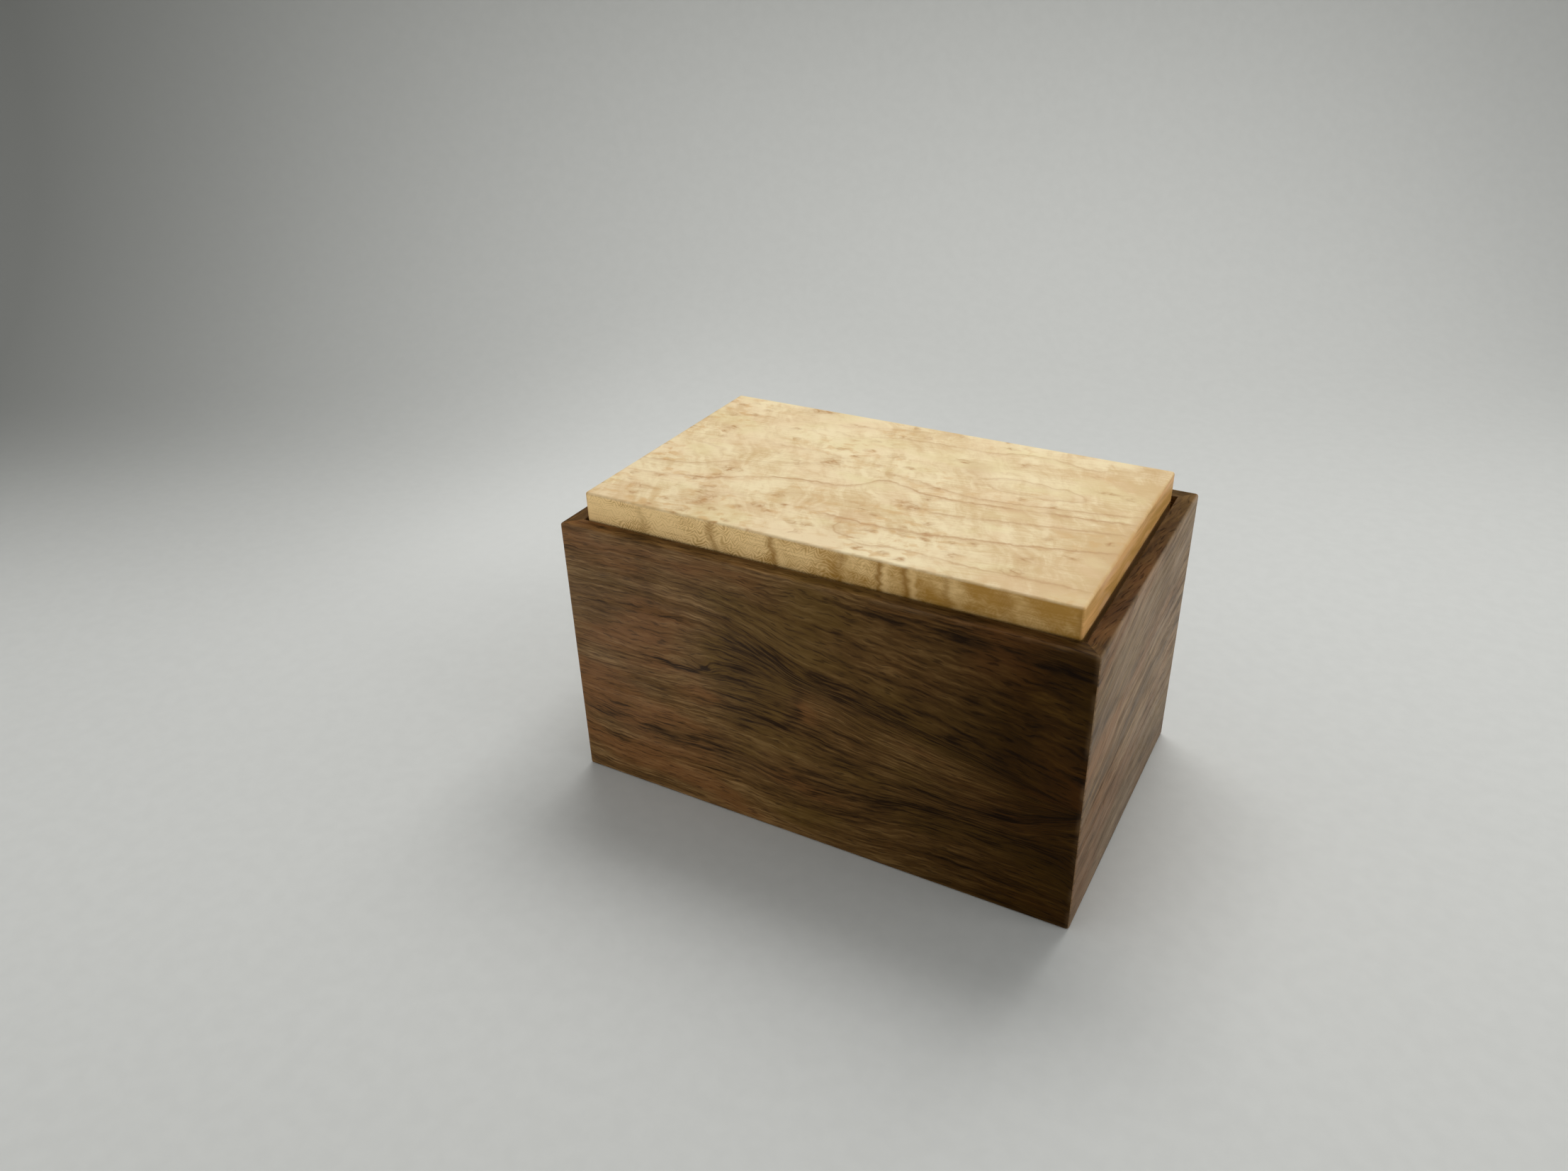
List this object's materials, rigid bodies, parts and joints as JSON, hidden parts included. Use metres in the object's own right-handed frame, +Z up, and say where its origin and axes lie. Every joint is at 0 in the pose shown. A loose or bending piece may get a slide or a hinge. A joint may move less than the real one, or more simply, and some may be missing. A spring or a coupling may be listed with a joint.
{
  "type": "puzzle box",
  "caption": "Rectangular walnut box with mitred corners and a loose lid slab of birdseye maple that stands proud of the rim and is locked by hidden gravity bolts.",
  "frame": {"origin": "middle of the base, on the surface that the box stands on", "axes": "+X along the length to the right, +Y to the back, +Z up; the front wall faces -Y"},
  "size_m": [0.15, 0.094, 0.0901],
  "materials": {
    "walnut": "oiled, satin",
    "walnut_panel": "oiled, matt",
    "plain_maple": "bare, sanded",
    "birdseye_maple": "oiled, satin",
    "brass": "turned",
    "steel": "turned",
    "nickel": "nickel plated"
  },
  "bodies": {
    "box": {"front_wall": "walnut", "back_wall": "walnut", "left_wall": "walnut", "right_wall": "walnut", "corner_splines": "plain_maple", "bottom_panel": "walnut_panel", "front_liner": "plain_maple", "back_liner": "plain_maple", "left_liner": "plain_maple", "right_liner": "plain_maple", "strike_bushes": "brass"},
    "lid": {"lid_panel": "birdseye_maple", "lid_core": "walnut_panel", "bolt_guides": "brass", "parking_magnets": "nickel", "core_screws": "steel"},
    "front_bolt_body": {"front_bolt": "steel"},
    "back_bolt_body": {"back_bolt": "steel"},
    "left_bolt_body": {"left_bolt": "steel"},
    "right_bolt_body": {"right_bolt": "steel"}
  },
  "joints": [
    {"name": "lid_lift", "type": "slide", "parent": "box", "child": "lid", "axis": [0, 0, 1], "range_m": [0, 0.1]},
    {"name": "front_bolt_throw", "type": "slide", "parent": "lid", "child": "front_bolt_body", "axis": [0, -1, 0], "range_m": [0, 0.005]},
    {"name": "back_bolt_throw", "type": "slide", "parent": "lid", "child": "back_bolt_body", "axis": [0, 1, 0], "range_m": [0, 0.005]},
    {"name": "left_bolt_throw", "type": "slide", "parent": "lid", "child": "left_bolt_body", "axis": [-1, 0, 0], "range_m": [0, 0.005]},
    {"name": "right_bolt_throw", "type": "slide", "parent": "lid", "child": "right_bolt_body", "axis": [1, 0, 0], "range_m": [0, 0.005]}
  ]
}
